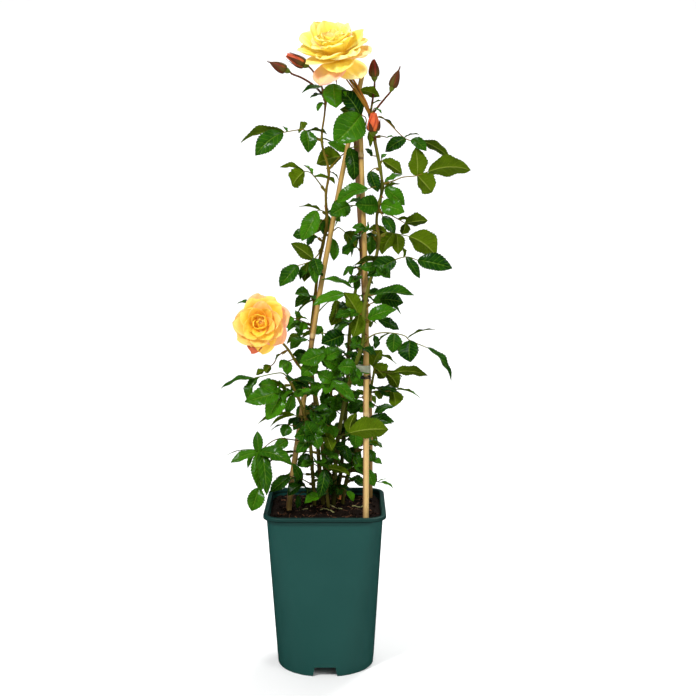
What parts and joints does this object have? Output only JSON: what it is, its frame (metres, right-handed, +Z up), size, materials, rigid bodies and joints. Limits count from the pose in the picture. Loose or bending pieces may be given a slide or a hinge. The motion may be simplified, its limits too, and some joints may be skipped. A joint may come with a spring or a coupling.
{
  "type": "potted climbing rose",
  "caption": "Climbing rose in a square-topped nursery pot, its leafy stems tied to a tripod of bamboo canes, with yellow blooms and red buds.",
  "frame": {"origin": "centre of the pot's middle foot, on the surface the pot stands on", "axes": "+Z up along the pot's axis, -Y towards the viewer of the picture, +X to the viewer's right"},
  "size_m": [0.3585, 0.2375, 0.9559],
  "materials": {
    "pot": "satin moulded plastic, dark green",
    "soil": "crumbly dark potting bark and peat",
    "bamboo": "split-free bamboo cane, satin",
    "twine": "twisted garden twine",
    "tape": "clear grey plastic tape",
    "foliage": "waxy green leaves with dull olive undersides, on olive stems",
    "petal_yellow": "soft petals, lemon yellow with pink backs",
    "petal_apricot": "soft petals, apricot yellow with an orange heart",
    "petal_bud": "furled petals, deep orange red"
  },
  "bodies": {
    "root": {"pot": "pot", "soil": "soil", "cane_left": "bamboo", "cane_right": "bamboo", "cane_back": "bamboo", "cane_tie": "twine", "tape_tie": "tape", "leafy_stem_left": "foliage", "leafy_stem_right": "foliage", "leafy_stem_middle": "foliage", "leafy_stem_low_left": "foliage", "leafy_stem_low_right": "foliage", "leafy_stem_low_bloom": "foliage", "leafy_stem_back": "foliage", "top_bloom": "petal_yellow", "low_bloom": "petal_apricot", "bud_left_outer": "petal_bud", "bud_left_inner": "petal_bud", "bud_right_inner": "petal_bud", "bud_right_outer": "petal_bud", "bud_front": "petal_bud"}
  },
  "joints": []
}
